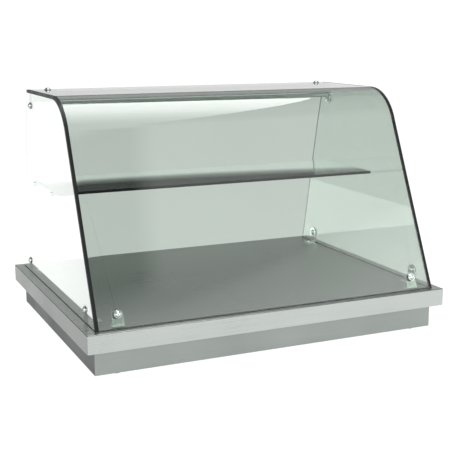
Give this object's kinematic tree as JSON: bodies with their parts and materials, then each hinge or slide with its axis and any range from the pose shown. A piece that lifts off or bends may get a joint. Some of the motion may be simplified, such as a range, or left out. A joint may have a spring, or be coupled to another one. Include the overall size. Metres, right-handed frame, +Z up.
{
  "type": "countertop display case",
  "caption": "Countertop bakery display case with a bent front glass, flat side glasses, an inner glass shelf and a folded steel deck on a plinth, open at the rear.",
  "frame": {"origin": "middle of the footprint, on the surface that the rubber feet stand on", "axes": "+X to the right and +Z up; the bent front glass faces -Y and the open serving side faces +Y"},
  "size_m": [0.8, 0.605, 0.5159],
  "materials": {
    "clear_glass": "clear polished toughened glass, faint green tint, dark green polished edges",
    "satin_steel": "satin brushed stainless steel",
    "galvanised_steel": "dull zinc-coated steel",
    "clip_steel": "polished stainless steel",
    "rail_steel": "brushed stainless steel tube",
    "chrome": "bright chrome plate",
    "black_rubber": "matt black rubber",
    "clear_sleeve": "clear plastic sleeves and pads"
  },
  "bodies": {
    "case": {"bracket_gasket_left": "black_rubber", "bracket_gasket_right": "black_rubber", "clip_gaskets": "clear_sleeve", "deck_nuts": "chrome", "deck_screws": "chrome", "deck_stiffener_left": "galvanised_steel", "deck_stiffener_right": "galvanised_steel", "deck_tray": "satin_steel", "foot_front_left": "black_rubber", "foot_front_right": "black_rubber", "foot_rear_left": "black_rubber", "foot_rear_right": "black_rubber", "front_clip_left": "clip_steel", "front_clip_right": "clip_steel", "front_glass": "clear_glass", "glass_cap_nuts": "chrome", "glass_screws": "chrome", "glass_seal_front": "black_rubber", "glass_seal_left": "black_rubber", "glass_seal_right": "black_rubber", "glass_washers": "black_rubber", "left_clip_front": "clip_steel", "left_clip_rear": "clip_steel", "left_side_glass": "clear_glass", "plinth_corner_front_left": "satin_steel", "plinth_corner_front_right": "satin_steel", "plinth_corner_rear_left": "satin_steel", "plinth_corner_rear_right": "satin_steel", "plinth_front_panel": "satin_steel", "plinth_left_panel": "satin_steel", "plinth_rear_panel": "satin_steel", "plinth_right_panel": "satin_steel", "rear_bracket_left": "clip_steel", "rear_bracket_right": "clip_steel", "rear_top_rail": "rail_steel", "right_clip_front": "clip_steel", "right_clip_rear": "clip_steel", "right_side_glass": "clear_glass", "shelf_collars": "chrome", "shelf_pin_left_front": "chrome", "shelf_pin_left_rear": "chrome", "shelf_pin_right_front": "chrome", "shelf_pin_right_rear": "chrome", "shelf_sleeve_left_front": "clear_sleeve", "shelf_sleeve_left_rear": "clear_sleeve", "shelf_sleeve_right_front": "clear_sleeve", "shelf_sleeve_right_rear": "clear_sleeve", "top_bolts": "chrome", "top_nuts": "chrome", "top_washers": "black_rubber"},
    "shelf": {"shelf_glass": "clear_glass"}
  },
  "joints": [
    {"name": "shelf_slide", "type": "slide", "parent": "case", "child": "shelf", "axis": [0, 1, 0], "range_m": [0, 0.36]}
  ]
}
